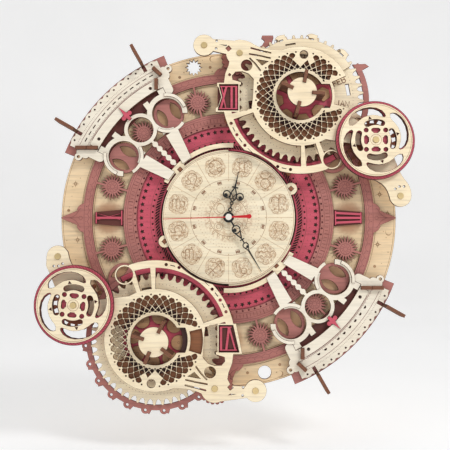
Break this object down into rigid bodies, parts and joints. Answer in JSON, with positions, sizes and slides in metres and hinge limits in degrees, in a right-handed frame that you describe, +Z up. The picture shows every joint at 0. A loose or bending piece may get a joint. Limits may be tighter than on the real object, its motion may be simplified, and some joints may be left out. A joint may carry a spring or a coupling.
{
  "type": "wooden mechanical puzzle wall clock",
  "caption": "Round layered plywood kit clock with hands, ring dial, two geared calendar wheels and two knob wheels.",
  "frame": {"origin": "point of the hands' axis on the wall plane, at the back face of the movement's cover", "axes": "+Z up, +X to the right as seen from the front, +Y into the wall; the clock face looks along -Y"},
  "size_m": [0.3726, 0.06, 0.3825],
  "materials": {
    "cream_plywood": "satin",
    "natural_plywood": "satin",
    "mauve_plywood": "satin",
    "magenta_plywood": "satin",
    "maroon_plywood": "satin",
    "brown_plywood": "satin",
    "white_plywood": "satin",
    "black_plastic": "matte",
    "green_board": "satin",
    "copper_coil": "satin",
    "battery_label": "satin",
    "brass": "satin",
    "white_plastic": "satin",
    "steel": "satin",
    "black_hand": "satin",
    "red_hand": "satin"
  },
  "bodies": {
    "clock": {"movement_case": "black_plastic", "movement_cover": "black_plastic", "circuit_board": "green_board", "drive_coil": "copper_coil", "battery": "battery_label", "arbor_bushing": "brass", "arbor_nut": "brass", "wall_spacers": "natural_plywood", "hanger_plate": "natural_plywood", "base_board": "natural_plywood", "magenta_ring": "magenta_plywood", "numeral_plates": "maroon_plywood", "hour_numerals": "magenta_plywood", "hour_ring": "mauve_plywood", "dial_bracket": "cream_plywood", "bracket_tabs": "brown_plywood", "dial": "cream_plywood", "arc_liners": "maroon_plywood", "arc_backings": "mauve_plywood", "arc_plate_ul": "cream_plywood", "arc_plate_lr": "cream_plywood", "arc_strips": "white_plywood", "arc_rings_ul": "cream_plywood", "arc_rings_lr": "cream_plywood", "arc_arms": "white_plywood", "arc_fins": "brown_plywood", "arc_pointers": "magenta_plywood", "gear_arcs": "magenta_plywood", "month_hook_ring": "mauve_plywood", "zodiac_hook_ring": "mauve_plywood", "month_claws": "cream_plywood", "month_frame": "cream_plywood", "zodiac_frame": "cream_plywood", "frame_posts": "brown_plywood", "brass_pins": "brass"},
    "hour_hand": {"hour_tube": "brass", "hour_hand": "black_hand"},
    "minute_hand": {"minute_tube": "brass", "minute_hand": "black_hand"},
    "second_hand": {"second_shaft": "steel", "second_hand": "red_hand"},
    "set_knob": {"time_set_knob": "white_plastic"},
    "month_wheel": {"month_gear": "cream_plywood", "month_disc": "magenta_plywood", "month_plates": "brown_plywood", "month_hub": "cream_plywood", "month_fins": "brown_plywood"},
    "zodiac_wheel": {"zodiac_gear": "cream_plywood", "zodiac_disc": "magenta_plywood", "zodiac_plates": "brown_plywood", "zodiac_hub": "cream_plywood", "zodiac_fins": "brown_plywood"},
    "month_knob": {"month_pinion": "brown_plywood", "month_knob_axle": "brass", "month_knob": "cream_plywood", "month_knob_rim": "magenta_plywood"},
    "zodiac_knob": {"zodiac_pinion": "brown_plywood", "zodiac_knob_axle": "brass", "zodiac_knob": "cream_plywood", "zodiac_knob_rim": "magenta_plywood"}
  },
  "joints": [
    {"name": "hour_hand_turn", "type": "hinge", "parent": "clock", "child": "hour_hand", "pos_m": [0, -0.03, 0], "axis": [0, -1, 0], "continuous": true},
    {"name": "minute_hand_turn", "type": "hinge", "parent": "clock", "child": "minute_hand", "pos_m": [0, -0.03, 0], "axis": [0, -1, 0], "continuous": true},
    {"name": "second_hand_turn", "type": "hinge", "parent": "clock", "child": "second_hand", "pos_m": [0, -0.03, 0], "axis": [0, -1, 0], "continuous": true},
    {"name": "set_knob_turn", "type": "hinge", "parent": "clock", "child": "set_knob", "pos_m": [0, -0.005, 0.015], "axis": [0, -1, 0], "continuous": true},
    {"name": "month_wheel_turn", "type": "hinge", "parent": "clock", "child": "month_wheel", "pos_m": [0.0716, -0.03, 0.1206], "axis": [0, -1, 0], "continuous": true},
    {"name": "zodiac_wheel_turn", "type": "hinge", "parent": "clock", "child": "zodiac_wheel", "pos_m": [-0.0716, -0.03, -0.1206], "axis": [0, -1, 0], "continuous": true},
    {"name": "month_knob_turn", "type": "hinge", "parent": "clock", "child": "month_knob", "pos_m": [0.14436, -0.03, 0.07513], "axis": [0, -1, 0], "continuous": true},
    {"name": "zodiac_knob_turn", "type": "hinge", "parent": "clock", "child": "zodiac_knob", "pos_m": [-0.15022, -0.03, -0.08625], "axis": [0, -1, 0], "continuous": true}
  ],
  "couplings": [
    {"joint": "hour_hand_turn", "follows": "minute_hand_turn", "ratio": 0.083333},
    {"joint": "set_knob_turn", "follows": "minute_hand_turn", "ratio": -1},
    {"joint": "month_knob_turn", "follows": "month_wheel_turn", "ratio": -2.6667},
    {"joint": "zodiac_knob_turn", "follows": "zodiac_wheel_turn", "ratio": -2.6667}
  ]
}
